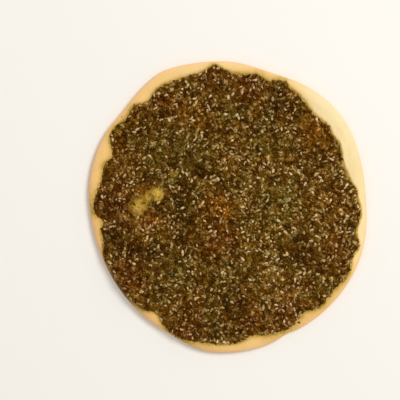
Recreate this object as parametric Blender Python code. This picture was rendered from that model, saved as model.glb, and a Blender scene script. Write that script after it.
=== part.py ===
"""A manakish: a hand-stretched round flatbread under a thin spread of thyme, sumac, oil and sesame.

Run it with blender --background --python part.py, or from Blender's text editor.
Metres, with +Z up. The origin is under the middle of the bread, on the surface that it lies on.
Angles are in degrees, anticlockwise from +X as seen from above.
"""

import math
import random

import bmesh
import bpy
from mathutils import Matrix, Vector, noise
from mathutils.bvhtree import BVHTree
from mathutils.geometry import delaunay_2d_cdt

MM = 0.001

# Bread: the oval that the dough was stretched to, and the depths of its rim.
BREAD_WIDTH = 254.5 * MM
BREAD_LENGTH = 268 * MM
RIM_HEIGHT = 9.6 * MM
RIM_HEIGHT_SWING = 0.9 * MM
RIM_WAVES = ((2, 0.6, 23), (3, 0.4, 126))  # times round the bread, share, shift in degrees
WIDEST_HEIGHT = 4.2 * MM
FLOOR_HEIGHT = 6.6 * MM
UPPER_ROUND = 6.5 * MM
LOWER_ROUND = 5.5 * MM
RIM_INNER_SLOPE = 12 * MM
WAVE_HEIGHT = 0.7 * MM
WAVE_LENGTH = 55 * MM
RIM_RIPPLE_HEIGHT = 0.5 * MM
RIM_RIPPLE_LENGTH = 20 * MM

# Where the stretched edge swells out or is drawn in: (angle, half width in degrees, depth).
EDGE_SWELLS = (
    (3, 7, -0.8 * MM),
    (37, 12, 3.6 * MM),
    (73, 9, -3.9 * MM),
    (117, 3, 0.7 * MM),
    (117, 10, 5.1 * MM),
    (138, 5, -1.1 * MM),
    (156, 13, 3.2 * MM),
    (173, 8, 1.0 * MM),
    (221, 24, -4.3 * MM),
    (245, 7, -1.4 * MM),
    (261, 7, 1.6 * MM),
    (295, 3, -1.8 * MM),
    (296, 10, -2.2 * MM),
    (338, 13, 2.3 * MM),
)

# Bare rim between the spread and the edge, and the places where it is wider or narrower.
BARE_RIM = 7.6 * MM
LEAST_BARE_RIM = 1.2 * MM
BARE_BAYS = (
    (15.5, 6, 5.6 * MM),
    (21.5, 3, 2.0 * MM),
    (28, 6, 5.0 * MM),
    (34.5, 2.2, 2.8 * MM),
    (46, 7, 8.4 * MM),
    (73, 2, 1.2 * MM),
    (87, 4, 1.3 * MM),
    (113, 7.5, 3.2 * MM),
    (127.8, 2.8, 4.2 * MM),
    (156.3, 2.9, 6.9 * MM),
    (167, 3.4, 3.2 * MM),
    (186.8, 2.1, 4.8 * MM),
    (194, 3, 1.0 * MM),
    (235.8, 2.3, 4.3 * MM),
    (281, 3, 4.4 * MM),
    (306, 3, 2.8 * MM),
    (338, 2.5, 1.9 * MM),
    (350, 3, 1.9 * MM),
)
SPREAD_TONGUES = (
    (7.8, 1.8, 1.6 * MM),
    (67, 2.6, 5.6 * MM),
    (76.8, 2.6, 4.0 * MM),
    (95.5, 2.7, 6.0 * MM),
    (134, 3.4, 4.0 * MM),
    (146, 4, 4.4 * MM),
    (181, 4.2, 4.0 * MM),
    (203, 3, 1.2 * MM),
    (214, 15, 7.0 * MM),
    (248.5, 5.2, 7.0 * MM),
    (295, 3.6, 4.2 * MM),
    (313, 3, 2.6 * MM),
    (330.5, 5, 3.8 * MM),
    (342.6, 2.6, 3.7 * MM),
    (357.5, 4, 2.4 * MM),
)

# Blisters that lift the dough under the spread: (x, y, radius, height).
BLISTERS = (
    (-73 * MM, 6 * MM, 22 * MM, 1.5 * MM),
    (9 * MM, -6 * MM, 26 * MM, 1.1 * MM),
    (98 * MM, 50 * MM, 20 * MM, 0.9 * MM),
    (-34 * MM, 66 * MM, 24 * MM, 0.8 * MM),
    (44 * MM, -78 * MM, 22 * MM, 0.8 * MM),
)

# The bare top of one blister, where the spread has slid off: a ragged oval.
BARE_PATCH_CENTRE = (-73.5 * MM, 6 * MM)
BARE_PATCH_HALF_LENGTH = 15 * MM
BARE_PATCH_HALF_WIDTH = 7.2 * MM
BARE_PATCH_ANGLE = 33
BARE_PATCH_RAGGED = 0.16
BARE_PATCH_WAVES = ((2, 1.0, 69), (5, 0.7, 0))  # times round the patch, share, shift in degrees

# Spread: its thickness in the middle and at its edge, and its crags.
SPREAD_GAP = 0.32 * MM
SPREAD_THICKNESS = 1.25 * MM
SPREAD_EDGE_THICKNESS = 0.55 * MM
SPREAD_TAPER = 6 * MM
CRAG_HEIGHT = 0.45 * MM
CRAG_LENGTH = 11 * MM

# Sesame seeds, at their true size, sunk by part of their thickness.
SEED_COUNT = 232
SEED_LENGTH = 3.3 * MM
SEED_WIDTH = 2.1 * MM
SEED_THICKNESS = 1.3 * MM
SEED_TIP_WIDTH = 0.7
SEED_SIZE_SPREAD = 0.12
SEED_TILT = 9
SEED_LIFT = 0.2 * MM
SEED_EDGE_CLEARANCE = 3.2 * MM
SEED_JITTER = 2.6 * MM
GOLDEN_ANGLE = math.pi * (3 - math.sqrt(5))

# How finely the surfaces are cut into triangles. The lower rings are degrees down the rounded side.
SECTORS = 120
PATCH_SECTORS = 16
COARSE_SPACING = 13.5 * MM
FINE_SPACING = 6.6 * MM
PATCH_SPACING = 4.5 * MM
LATTICE_SHAKE = 0.14
EDGE_CLEARANCE = 0.55
PATCH_CLEARANCE = 0.33
PATCH_CORE = 0.6
RIM_RINGS = (0.70, 0.42, 0.20, 0.06, 0.0)
LOWER_RINGS = (35, 65, 90)
MERGE_DISTANCE = 1e-7
RANDOM_SEED = 7

# Finishes: colour and roughness.
DOUGH = ((0.80, 0.60, 0.25), 0.75)
ZAATAR = ((0.10, 0.062, 0.015), 0.6)


def clear_scene():
    """Remove what a new file holds, so that the script can be run again."""
    for obj in list(bpy.data.objects):
        bpy.data.objects.remove(obj)


def lobe_sum(angle, lobes):
    """Sum of the bell-shaped lobes at an angle in degrees."""
    total = 0.0
    for centre, half_width, depth in lobes:
        away = (angle - centre + 180) % 360 - 180
        total += depth * math.exp(-0.5 * (away / half_width) ** 2)
    return total


def bread_radius(angle):
    """Distance from the middle to the bread's edge: an oval with swells and flats."""
    turn = math.radians(angle)
    across, along = BREAD_WIDTH / 2, BREAD_LENGTH / 2
    oval = across * along / math.hypot(along * math.cos(turn), across * math.sin(turn))
    return oval + lobe_sum(angle, EDGE_SWELLS)


def bare_rim(angle):
    """Width of bare dough between the spread and the bread's edge."""
    width = BARE_RIM + lobe_sum(angle, BARE_BAYS) - lobe_sum(angle, SPREAD_TONGUES)
    return max(LEAST_BARE_RIM, width)


def spread_radius(angle):
    """Distance from the middle to the spread's ragged edge."""
    return bread_radius(angle) - bare_rim(angle)


def polar(x, y):
    """Angle in degrees and distance from the middle."""
    return math.degrees(math.atan2(y, x)), math.hypot(x, y)


def on_ray(angle, radius):
    """The point at an angle in degrees and a distance from the middle."""
    turn = math.radians(angle)
    return radius * math.cos(turn), radius * math.sin(turn)


def wave_sum(turn, waves):
    """Sum of sine waves round a middle at an angle in radians."""
    return sum(share * math.sin(times * turn + math.radians(shift)) for times, share, shift in waves)


def smooth_step(share):
    """0 to 1 with a soft start and end."""
    share = min(1.0, max(0.0, share))
    return share * share * (3 - 2 * share)


def rim_height(angle):
    """The rim's crown is higher where more dough was left, in a slow wave round the bread."""
    turn = math.radians(angle)
    return RIM_HEIGHT + RIM_HEIGHT_SWING * wave_sum(turn, RIM_WAVES)


def dough_floor(x, y):
    """Height of the dough under the spread: slow waves, and blisters that lift it."""
    height = FLOOR_HEIGHT + WAVE_HEIGHT * noise.noise(Vector((x, y, 0)) / WAVE_LENGTH)
    for blister_x, blister_y, radius, lift in BLISTERS:
        away = math.hypot(x - blister_x, y - blister_y) / radius
        height += lift * smooth_step(1 - away)
    return height


def dough_top(x, y):
    """Height of the bread's upper surface: rounded edge, crown, then a slope to the floor."""
    angle, distance = polar(x, y)
    inward = max(0.0, bread_radius(angle) - distance)
    crown = rim_height(angle) + RIM_RIPPLE_HEIGHT * noise.noise(Vector((x, y, 0)) / RIM_RIPPLE_LENGTH)
    if inward < UPPER_ROUND:
        along = 1 - inward / UPPER_ROUND
        return WIDEST_HEIGHT + (crown - WIDEST_HEIGHT) * math.sqrt(1 - along * along)
    share = smooth_step((inward - UPPER_ROUND) / RIM_INNER_SLOPE)
    return crown + (dough_floor(x, y) - crown) * share


def bare_patch_reach(x, y):
    """Distance of a point from the bare patch's middle, as a share of the way to the patch's edge."""
    turn = math.radians(-BARE_PATCH_ANGLE)
    from_x, from_y = x - BARE_PATCH_CENTRE[0], y - BARE_PATCH_CENTRE[1]
    along = (from_x * math.cos(turn) - from_y * math.sin(turn)) / BARE_PATCH_HALF_LENGTH
    across = (from_x * math.sin(turn) + from_y * math.cos(turn)) / BARE_PATCH_HALF_WIDTH
    ragged = 1 + BARE_PATCH_RAGGED * wave_sum(math.atan2(across, along), BARE_PATCH_WAVES)
    return math.hypot(along, across) / ragged


def bare_patch_loop():
    """Points along the patch's ragged edge, found by stepping out along each bearing."""
    loop = []
    for step in range(PATCH_SECTORS):
        bearing = 2 * math.pi * step / PATCH_SECTORS
        turn = math.radians(BARE_PATCH_ANGLE)
        along = BARE_PATCH_HALF_LENGTH * math.cos(bearing)
        across = BARE_PATCH_HALF_WIDTH * math.sin(bearing)
        out_x = along * math.cos(turn) - across * math.sin(turn)
        out_y = along * math.sin(turn) + across * math.cos(turn)
        reach = bare_patch_reach(BARE_PATCH_CENTRE[0] + out_x, BARE_PATCH_CENTRE[1] + out_y)
        loop.append((BARE_PATCH_CENTRE[0] + out_x / reach, BARE_PATCH_CENTRE[1] + out_y / reach))
    return loop


def spread_thickness(x, y):
    """Thickness of the spread: thin at its edge and round the bare patch, with crags between."""
    angle, distance = polar(x, y)
    from_edge = spread_radius(angle) - distance
    from_patch = (bare_patch_reach(x, y) - 1) * BARE_PATCH_HALF_WIDTH
    share = smooth_step(min(from_edge, from_patch) / SPREAD_TAPER)
    level = SPREAD_EDGE_THICKNESS + (SPREAD_THICKNESS - SPREAD_EDGE_THICKNESS) * share
    return level + CRAG_HEIGHT * share * noise.noise(Vector((x, y, 0)) / CRAG_LENGTH)


def edge_loop():
    """Points along the spread's edge, one for each sector."""
    angles = [360 * step / SECTORS for step in range(SECTORS)]
    return [on_ray(angle, spread_radius(angle)) for angle in angles]


def lattice(spacing, draw, wanted):
    """Points of a triangular lattice over the bread, shaken a little, where wanted(x, y) is true."""
    points = []
    row_height = spacing * math.sqrt(3) / 2
    rows = math.ceil(BREAD_LENGTH / 2 / row_height)
    columns = math.ceil(BREAD_LENGTH / 2 / spacing)
    shake = LATTICE_SHAKE * spacing
    for row in range(-rows, rows + 1):
        for column in range(-columns, columns + 1):
            x = (column + 0.5 * (row % 2)) * spacing + draw.uniform(-shake, shake)
            y = row * row_height + draw.uniform(-shake, shake)
            if wanted(x, y):
                points.append((x, y))
    return points


def inside_spread(spacing):
    """A test for lattice points that stay clear of the spread's two edges, by a share of the spacing."""

    def wanted(x, y):
        angle, distance = polar(x, y)
        from_patch = (bare_patch_reach(x, y) - 1) * BARE_PATCH_HALF_WIDTH
        from_edge = spread_radius(angle) - distance
        return from_edge > EDGE_CLEARANCE * spacing and from_patch > PATCH_CLEARANCE * spacing

    return wanted


def inside_patch(x, y):
    """A test for lattice points well inside the bare patch."""
    return bare_patch_reach(x, y) < PATCH_CORE


def triangulate(points, loops):
    """Triangles over the points, inside the first loop. Each loop is a range of point indices."""
    edges = []
    for start, end in loops:
        edges += [(index, index + 1) for index in range(start, end - 1)] + [(end - 1, start)]
    flat = [Vector(point) for point in points]
    outline = list(range(*loops[0]))
    inside_only = 1
    _, _, faces, origins, _, _ = delaunay_2d_cdt(flat, edges, [outline], inside_only, MERGE_DISTANCE)
    return [tuple(origins[corner][0] for corner in face) for face in faces]


def is_over_patch(points, triangle):
    """Whether the triangle's middle lies inside the bare patch."""
    x = sum(points[corner][0] for corner in triangle) / 3
    y = sum(points[corner][1] for corner in triangle) / 3
    return bare_patch_reach(x, y) < 1


def counter_clockwise(points, triangle):
    """The triangle's corners in the order that faces up."""
    (ax, ay), (bx, by), (cx, cy) = (points[corner] for corner in triangle)
    turns_left = (bx - ax) * (cy - ay) - (by - ay) * (cx - ax) > 0
    return triangle if turns_left else triangle[::-1]


def surface_under_spread(draw):
    """The coarse net that the dough's top and the spread's underside share, and its triangles.

    The first points are the spread's edge, and the next are the bare patch's edge.
    """
    rim, patch = edge_loop(), bare_patch_loop()
    points = rim + patch
    points += lattice(COARSE_SPACING, draw, inside_spread(COARSE_SPACING))
    points += lattice(PATCH_SPACING, draw, inside_patch)
    loops = ((0, len(rim)), (len(rim), len(rim) + len(patch)))
    triangles = [counter_clockwise(points, face) for face in triangulate(points, loops)]
    bare = [face for face in triangles if is_over_patch(points, face)]
    covered = [face for face in triangles if not is_over_patch(points, face)]
    return points, covered, bare


def surface_of_spread(draw):
    """The fine net of the spread's top, which starts with the same two edges."""
    rim, patch = edge_loop(), bare_patch_loop()
    points = rim + patch + lattice(FINE_SPACING, draw, inside_spread(FINE_SPACING))
    loops = ((0, len(rim)), (len(rim), len(rim) + len(patch)))
    triangles = [counter_clockwise(points, face) for face in triangulate(points, loops)]
    return points, [face for face in triangles if not is_over_patch(points, face)]


def material(name, colour, roughness):
    made = bpy.data.materials.new(name)
    made.use_nodes = True
    shader = made.node_tree.nodes["Principled BSDF"]
    shader.inputs["Base Color"].default_value = (*colour, 1.0)
    shader.inputs["Roughness"].default_value = roughness
    shader.inputs["Metallic"].default_value = 0.0
    made.diffuse_color = (*colour, 1.0)
    return made


def mesh_object(name, vertices, faces, finish):
    """A named object from vertices and faces, without the vertices that no face uses."""
    used = sorted({corner for face in faces for corner in face})
    place = {corner: index for index, corner in enumerate(used)}
    renumbered = [[place[corner] for corner in face] for face in faces]
    mesh = bpy.data.meshes.new(name)
    mesh.from_pydata([vertices[corner] for corner in used], [], renumbered)
    mesh.materials.append(finish)
    mesh.shade_smooth()
    obj = bpy.data.objects.new(name, mesh)
    bpy.context.scene.collection.objects.link(obj)
    return obj


def strip(first, second, count):
    """Quads between two rings of vertices that run anticlockwise, the first one inside or above."""
    quads = []
    for step in range(count):
        after = (step + 1) % count
        quads.append((first + step, second + step, second + after, first + after))
    return quads


def make_bread(net, finish):
    """The dough: the net under the spread, the bare rim outside it, the rounded side and a flat base."""
    points, covered, bare = net
    vertices = [(x, y, dough_top(x, y)) for x, y in points]
    faces = covered + bare
    angles = [360 * step / SECTORS for step in range(SECTORS)]
    inner = 0
    for share in RIM_RINGS:
        outer = len(vertices)
        for angle in angles:
            x, y = on_ray(angle, bread_radius(angle) - share * bare_rim(angle))
            vertices.append((x, y, dough_top(x, y)))
        faces += strip(inner, outer, SECTORS)
        inner = outer
    for slope in LOWER_RINGS:
        outer = len(vertices)
        turn = math.radians(slope)
        for angle in angles:
            x, y = on_ray(angle, bread_radius(angle) - LOWER_ROUND * (1 - math.cos(turn)))
            vertices.append((x, y, WIDEST_HEIGHT * (1 - math.sin(turn))))
        faces += strip(inner, outer, SECTORS)
        inner = outer
    faces.append(tuple(range(inner + SECTORS - 1, inner - 1, -1)))
    return mesh_object("bread", vertices, faces, finish)


def make_spread(net, draw, finish):
    """The spread: a craggy top, an underside that follows the dough, and walls at its two edges."""
    points, covered, _ = net
    top_points, top_faces = surface_of_spread(draw)
    under = [(x, y, dough_top(x, y) + SPREAD_GAP) for x, y in points]
    first_top = len(under)
    top = [(x, y, dough_top(x, y) + SPREAD_GAP + spread_thickness(x, y)) for x, y in top_points]
    faces = [face[::-1] for face in covered]
    faces += [tuple(first_top + corner for corner in face) for face in top_faces]
    faces += strip(first_top, 0, SECTORS)
    inward = strip(first_top + SECTORS, SECTORS, PATCH_SECTORS)
    faces += [quad[::-1] for quad in inward]
    return mesh_object("zaatar_spread", under + top, faces, finish)


def seed_mesh():
    """A low sesame seed: an oval drawn in to a point at one end."""
    bpy.ops.mesh.primitive_ico_sphere_add(subdivisions=1, radius=0.5)
    obj = bpy.context.object
    mesh = obj.data
    for vertex in mesh.vertices:
        along = vertex.co.x + 0.5
        vertex.co.y *= SEED_WIDTH * (1 + (SEED_TIP_WIDTH - 1) * smooth_step(along))
        vertex.co.x *= SEED_LENGTH
        vertex.co.z *= SEED_THICKNESS
    bpy.data.objects.remove(obj)
    return mesh


def seed_places(draw):
    """Even places over the spread, on a sunflower's spiral and then shaken, clear of both edges."""
    places = []
    reach = BREAD_LENGTH / 2
    for step in range(SEED_COUNT):
        radius = reach * math.sqrt((step + 0.5) / SEED_COUNT)
        turn = step * GOLDEN_ANGLE
        x = radius * math.cos(turn) + draw.uniform(-SEED_JITTER, SEED_JITTER)
        y = radius * math.sin(turn) + draw.uniform(-SEED_JITTER, SEED_JITTER)
        angle, distance = polar(x, y)
        from_patch = (bare_patch_reach(x, y) - 1) * BARE_PATCH_HALF_WIDTH
        if min(spread_radius(angle) - distance, from_patch) > SEED_EDGE_CLEARANCE:
            places.append((x, y))
    return places


def make_seeds(spread, draw, finish):
    """Seeds that lie on the spread, each its own object in one collection."""
    seeds = bpy.data.collections.new("seeds")
    bpy.context.scene.collection.children.link(seeds)
    shape = seed_mesh()
    shape.materials.append(finish)
    ground = BVHTree.FromObject(spread, bpy.context.evaluated_depsgraph_get())
    for x, y in seed_places(draw):
        point, normal, _, _ = ground.ray_cast(Vector((x, y, 2 * RIM_HEIGHT)), Vector((0, 0, -1)))
        seed = bpy.data.objects.new("seed", shape)
        seeds.objects.link(seed)
        tilt = Matrix.Rotation(math.radians(draw.uniform(-SEED_TILT, SEED_TILT)), 4, "Y")
        lie = normal.to_track_quat("Z", "X").to_matrix().to_4x4()
        spin = Matrix.Rotation(draw.uniform(0, 2 * math.pi), 4, "Z")
        size = Matrix.Scale(1 + draw.uniform(-SEED_SIZE_SPREAD, SEED_SIZE_SPREAD), 4)
        seed.matrix_world = Matrix.Translation(point + normal * SEED_LIFT) @ lie @ spin @ tilt @ size
    return seeds


def body_of(start):
    """Every face that is joined to this one by edges."""
    found, waiting = {start}, [start]
    while waiting:
        face = waiting.pop()
        for edge in face.edges:
            for other in edge.link_faces:
                if other not in found:
                    found.add(other)
                    waiting.append(other)
    return found


def keep_largest_body(mesh):
    """Drop loose scraps, and fill hollows that the fusing sealed, by keeping only the outer skin."""
    shape = bmesh.new()
    shape.from_mesh(mesh)
    unseen, bodies = set(shape.faces), []
    while unseen:
        bodies.append(body_of(next(iter(unseen))))
        unseen -= bodies[-1]
    bodies.sort(key=len)
    for scrap in bodies[:-1]:
        bmesh.ops.delete(shape, geom=list(scrap), context="FACES")
    shape.to_mesh(mesh)
    shape.free()


def fuse(spread, seeds):
    """Join the seeds to the spread in one solid, and remove the loose ones."""
    union = spread.modifiers.new("seeds", "BOOLEAN")
    union.operation = "UNION"
    union.operand_type = "COLLECTION"
    union.collection = seeds
    union.solver = "MANIFOLD"
    bpy.context.view_layer.update()
    graph = bpy.context.evaluated_depsgraph_get()
    fused = bpy.data.meshes.new_from_object(spread.evaluated_get(graph))
    keep_largest_body(fused)
    spread.modifiers.remove(union)
    spread.data = fused
    for seed in list(seeds.objects):
        bpy.data.objects.remove(seed)
    bpy.data.collections.remove(seeds)


def stand_on_origin(objects):
    """Put the middle of the bread's box, at its base, on the origin."""
    edge = [on_ray(360 * step / SECTORS, bread_radius(360 * step / SECTORS)) for step in range(SECTORS)]
    middle_x = (min(x for x, _ in edge) + max(x for x, _ in edge)) / 2
    middle_y = (min(y for _, y in edge) + max(y for _, y in edge)) / 2
    for obj in objects:
        obj.location = (-middle_x, -middle_y, 0)


def main():
    clear_scene()
    draw = random.Random(RANDOM_SEED)
    dough = material("dough", *DOUGH)
    zaatar = material("zaatar", *ZAATAR)
    net = surface_under_spread(draw)
    bread = make_bread(net, dough)
    spread = make_spread(net, draw, zaatar)
    fuse(spread, make_seeds(spread, draw, zaatar))
    stand_on_origin((bread, spread))


main()
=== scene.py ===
"""The looks of a manakish: a round flatbread under a spread of thyme, sumac, oil and sesame.

Metres, with +Z up. Angles are in degrees, anticlockwise from +X as seen from above.
Outlines and heights are worked out round the middle that the dough was stretched from, and
every finished mesh is then moved so that the middle of the bread's box lies over the origin.
"""

import math

import bpy
import numpy as np
from bpy.props import FloatProperty, FloatVectorProperty, IntProperty, PointerProperty
from bpy.types import Operator, Panel, PropertyGroup
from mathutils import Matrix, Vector, noise


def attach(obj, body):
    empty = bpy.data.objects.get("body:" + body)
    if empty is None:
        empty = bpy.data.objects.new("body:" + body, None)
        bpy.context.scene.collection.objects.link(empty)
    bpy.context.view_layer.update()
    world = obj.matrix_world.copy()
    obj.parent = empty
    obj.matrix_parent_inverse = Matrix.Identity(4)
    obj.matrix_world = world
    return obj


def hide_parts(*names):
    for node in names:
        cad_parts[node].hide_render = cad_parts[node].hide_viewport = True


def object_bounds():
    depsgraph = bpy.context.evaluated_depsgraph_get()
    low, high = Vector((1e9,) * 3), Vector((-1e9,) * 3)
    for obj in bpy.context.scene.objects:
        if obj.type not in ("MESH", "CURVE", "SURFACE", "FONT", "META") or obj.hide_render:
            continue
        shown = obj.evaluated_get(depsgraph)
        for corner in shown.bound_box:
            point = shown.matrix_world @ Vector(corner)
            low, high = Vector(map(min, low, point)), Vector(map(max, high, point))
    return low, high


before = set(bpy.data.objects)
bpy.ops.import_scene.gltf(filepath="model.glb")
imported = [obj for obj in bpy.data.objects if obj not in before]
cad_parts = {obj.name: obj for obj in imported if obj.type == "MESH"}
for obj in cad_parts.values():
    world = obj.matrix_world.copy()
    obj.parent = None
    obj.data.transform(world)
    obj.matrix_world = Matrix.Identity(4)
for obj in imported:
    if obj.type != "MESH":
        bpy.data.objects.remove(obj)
CAD_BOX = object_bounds()

bl_info = {
    "name": "Manakish",
    "version": (1, 0, 0),
    "blender": (4, 5, 0),
    "location": "3D View > Sidebar > Manakish",
    "description": "Dresses a round flatbread with dough, herb paste, leaves, crumbs and sesame",
    "category": "Add Mesh",
}

MM = 0.001
BODY = "root"


def in_mm(rows):
    """Rows in metres, from rows whose first three numbers are in millimetres."""
    return tuple((x * MM, y * MM, radius * MM, *rest) for x, y, radius, *rest in rows)


def lobes(rows):
    """Lobes round an edge, from rows of (angle, half width in degrees, depth in millimetres)."""
    return tuple((angle, half_width, depth * MM) for angle, half_width, depth in rows)


# Dough: the oval that it was stretched to, and the depths of its rim.
BREAD_WIDTH = 254.5 * MM
BREAD_LENGTH = 268 * MM
RIM_HEIGHT = 9.6 * MM
RIM_HEIGHT_SWING = 0.9 * MM
RIM_WAVES = ((2, 0.6, 23), (3, 0.4, 126))  # times round the bread, share, shift in degrees
WIDEST_HEIGHT = 4.2 * MM
FLOOR_HEIGHT = 6.6 * MM
UPPER_ROUND = 6.5 * MM
LOWER_ROUND = 5.5 * MM
RIM_INNER_SLOPE = 12 * MM
WAVE_HEIGHT = 0.7 * MM
WAVE_LENGTH = 55 * MM
RIM_RIPPLE_HEIGHT = 0.5 * MM
RIM_RIPPLE_LENGTH = 20 * MM
OUTLINE_SECTORS = 120

# Where the stretched edge swells out, or is drawn in, where the depth is below 0.
EDGE_SWELLS = lobes((
    (3, 7, -0.8), (37, 12, 3.6), (73, 9, -3.9), (117, 3, 0.7), (117, 10, 5.1), (138, 5, -1.1),
    (156, 13, 3.2), (173, 8, 1.0), (221, 24, -4.3), (245, 7, -1.4), (261, 7, 1.6), (295, 3, -1.8),
    (296, 10, -2.2), (338, 13, 2.3),
))

# Bare rim between the spread and the edge, and the places where it is wider or narrower.
BARE_RIM = 7.6 * MM
LEAST_BARE_RIM = 1.2 * MM
BARE_BAYS = lobes((
    (15.5, 6, 5.6), (21.5, 3, 2.0), (28, 6, 5.0), (34.5, 2.2, 2.8), (46, 7, 8.4), (73, 2, 1.2),
    (87, 4, 1.3), (113, 7.5, 3.2), (127.8, 2.8, 4.2), (156.3, 2.9, 6.9), (167, 3.4, 3.2),
    (186.8, 2.1, 4.8), (194, 3, 1.0), (235.8, 2.3, 4.3), (281, 3, 4.4), (306, 3, 2.8),
    (338, 2.5, 1.9), (350, 3, 1.9),
))
SPREAD_TONGUES = lobes((
    (7.8, 1.8, 1.6), (67, 2.6, 5.6), (76.8, 2.6, 4.0), (95.5, 2.7, 6.0), (134, 3.4, 4.0),
    (146, 4, 4.4), (181, 4.2, 4.0), (203, 3, 1.2), (214, 15, 7.0), (248.5, 5.2, 7.0),
    (295, 3.6, 4.2), (313, 3, 2.6), (330.5, 5, 3.8), (342.6, 2.6, 3.7), (357.5, 4, 2.4),
))

# Blisters that lift the dough under the spread: (x, y, radius, height).
BLISTERS = (
    (-73 * MM, 6 * MM, 22 * MM, 1.5 * MM),
    (9 * MM, -6 * MM, 26 * MM, 1.1 * MM),
    (98 * MM, 50 * MM, 20 * MM, 0.9 * MM),
    (-34 * MM, 66 * MM, 24 * MM, 0.8 * MM),
    (44 * MM, -78 * MM, 22 * MM, 0.8 * MM),
)

# The bare top of one blister, where the spread has slid off: a ragged oval in the solids.
BARE_PATCH_CENTRE = (-73.5 * MM, 6 * MM)
BARE_PATCH_HALF_LENGTH = 15 * MM
BARE_PATCH_HALF_WIDTH = 7.2 * MM
BARE_PATCH_ANGLE = 33
BARE_PATCH_RAGGED = 0.16
BARE_PATCH_WAVES = ((2, 1.0, 69), (5, 0.7, 0))  # times round the patch, share, shift in degrees

# What the finished spread leaves bare there: round lobes that run into each other: (x, y, radius).
BARE_LOBES = in_mm((
    (-64.8, 12.2, 6.2), (-71.4, 10.4, 4.8), (-77.2, 6.8, 4.8), (-82.0, 0.4, 7.6),
))

# Spread: its thickness in the middle and at its edge, and its crags.
SPREAD_GAP = 0.32 * MM
SPREAD_THICKNESS = 1.25 * MM
SPREAD_EDGE_THICKNESS = 0.55 * MM
SPREAD_TAPER = 6 * MM
CRAG_HEIGHT = 0.45 * MM
CRAG_LENGTH = 11 * MM

# Fine relief of the dough's skin and of the paste: (height, length of the bumps).
SKIN_RELIEF = ((0.16 * MM, 7 * MM), (0.07 * MM, 2.6 * MM))
PATCH_RELIEF = ((0.35 * MM, 4.2 * MM), (0.18 * MM, 2.0 * MM))
PASTE_RELIEF = ((0.30 * MM, 4.4 * MM), (0.26 * MM, 2.1 * MM))
EDGE_RELIEF = ((0.7 * MM, 5.0 * MM), (0.7 * MM, 2.6 * MM), (0.5 * MM, 1.3 * MM))
PATCH_EDGE_RELIEF = ((1.8 * MM, 3.4 * MM), (1.2 * MM, 1.7 * MM))

# Patterns of noise: each relief's first one, with the next ones for its finer bumps, and those of
# the base's dents and of the tones.
SKIN_LAYER = 3
PATCH_LAYER = 7
PASTE_LAYER = 13
EDGE_LAYER = 11
PATCH_EDGE_LAYER = 2
BASE_LAYER = 5
TONE_LAYER = 8
SEED_TONE_LAYER = 9

# How far the paste keeps back from the spread's edge, which crumbs fill, and where the finished
# spread stops still further in.
EDGE_SETBACK = 1.0 * MM
EDGE_RETREATS = lobes(((92, 38, 1.1),))

# Places where oil has soaked out into the bare rim, and how far.
OIL_SEEPS = lobes((
    (52, 7, 0.8), (73, 9, 2.7), (104, 12, 0.7), (136, 7, 0.8), (158, 6, 1.7), (171, 4, 0.6),
    (181, 5.5, 4.2), (238, 6, 1.0), (255, 7, 3.0), (288, 7, 2.1), (302, 6, 2.4), (319, 7, 1.8),
))
OIL_REACH = 0.6 * MM

# Sides of the rim that face the key lamp, painted a paler cream as painted light: (angle, half width in
# degrees, share).
PAINTED_LIGHT_SIDES = (
    (-13, 9, 0.5),
    (3, 12, 0.45),
    (25, 13, 0.68),
    (47, 12, 0.92),
    (98, 12, 0.35),
)

# Sides of the rim painted peach, partly crust and partly painted shade and painted warm reflected light on
# the sides away from the key lamp, and the side where the rim's upper part is dark brown.
PEACH_AND_SHADE_SIDES = (
    (76, 9, 0.3),
    (138, 9, 0.4),
    (165, 12, 0.3),
    (192, 14, 1.0),
    (243, 14, 1.0),
    (285, 18, 0.2),
    (318, 16, 0.4),
)
BROWNED_SIDES = ((216, 7.2, 1.2),)

# Golden lumps on the bare patch: (x, y, radius, strength).
PATCH_LUMPS = in_mm((
    (-64.4, 12.4, 6.5, 1.0), (-73.0, 8.6, 4.0, 0.62), (-82.0, 0.2, 7.0, 0.80),
))

# Patches of the spread that show one of its parts more: (x, y, radius, strength).
LEAFY_PLACES = in_mm((
    (-48, 50, 23, 1.0), (0, 90, 14, 0.8), (43, 12, 25, 0.9), (40, 59, 20, 0.6), (-75, 66, 16, 0.3),
    (-53, -57, 24, 0.8), (-12, -72, 16, 0.5), (27, -51, 16, 0.5), (-38, 30, 12, 0.6),
    (-20, -52, 12, 0.8), (42, -72, 13, 0.6), (22, 92, 10, 0.7), (-14, -112, 10, 0.6),
    (64, -8, 14, 0.4), (84, -30, 13, 0.5),
))
TOASTED_PLACES = in_mm((
    (-6, 1, 12, 0.9), (9, -32, 10, 0.45), (77, 73, 13, 0.45), (-77, 15, 7, 0.7), (-72, -10, 9, 0.5),
    (-32, 86, 15, 0.4), (-80, 72, 14, 0.35), (-100, 49, 12, 0.3), (62, 92, 11, 0.35),
    (-80, -70, 12, 0.25), (-82, -28, 12, 0.3), (-40, -92, 12, 0.2),
))
GOLDEN_PLACES = in_mm((
    (49, -76, 17, 1.0), (40, -63, 14, 0.8), (-46, 77, 11, 0.3), (-92, 43, 12, 0.3),
    (-67, -18, 14, 0.6), (-56, 29, 10, 0.8), (14, 6, 15, 0.6), (98, 6, 21, 0.7), (34, 46, 30, 0.45),
    (46, 2, 26, 0.6), (-50, -60, 18, 0.3), (26, 87, 9, 0.4), (42, -30, 13, 0.7),
    (90, -30, 14, 0.75), (103, 32, 11, 0.5), (23, -14, 10, 0.4), (22, -50, 11, 0.65),
    (25, -92, 11, 0.5), (2, -70, 11, 0.4), (2, 112, 9, 0.6),
))
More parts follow.
